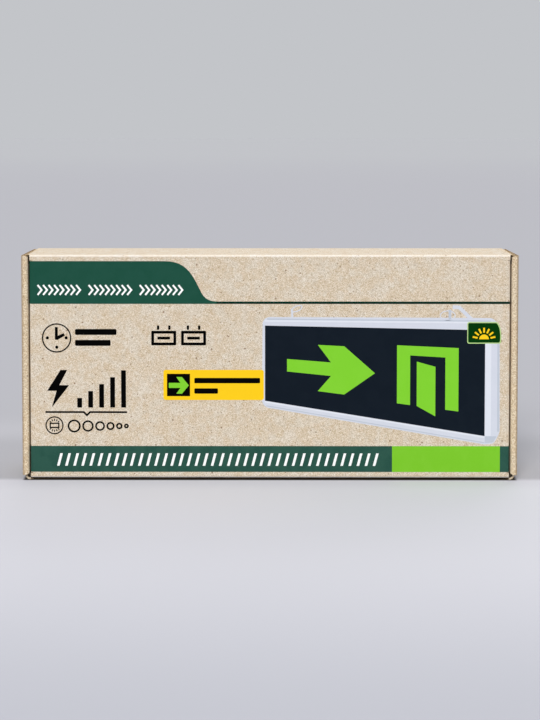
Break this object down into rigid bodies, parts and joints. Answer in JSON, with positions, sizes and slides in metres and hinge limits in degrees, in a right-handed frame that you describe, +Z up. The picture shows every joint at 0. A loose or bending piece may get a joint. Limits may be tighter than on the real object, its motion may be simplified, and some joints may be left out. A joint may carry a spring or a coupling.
{
  "type": "printed corrugated mailer carton",
  "caption": "Flat printed kraft corrugated carton for an exit light, with rolled end walls and a tuck lid, standing on its long side.",
  "frame": {"origin": "on the floor under the middle of the carton", "axes": "+X along the carton, -Y out of the lid's printed face, +Z up"},
  "size_m": [0.37, 0.056, 0.169],
  "materials": {
    "kraft_board": "matte"
  },
  "bodies": {
    "tray": {"carton_tray": "kraft_board"},
    "lid": {"lid": "kraft_board"}
  },
  "joints": [
    {"name": "lid_hinge", "type": "hinge", "parent": "tray", "child": "lid", "pos_m": [0, -0.02705, 0.1682], "axis": [-1, 0, 0], "range_deg": [0, 180]}
  ]
}
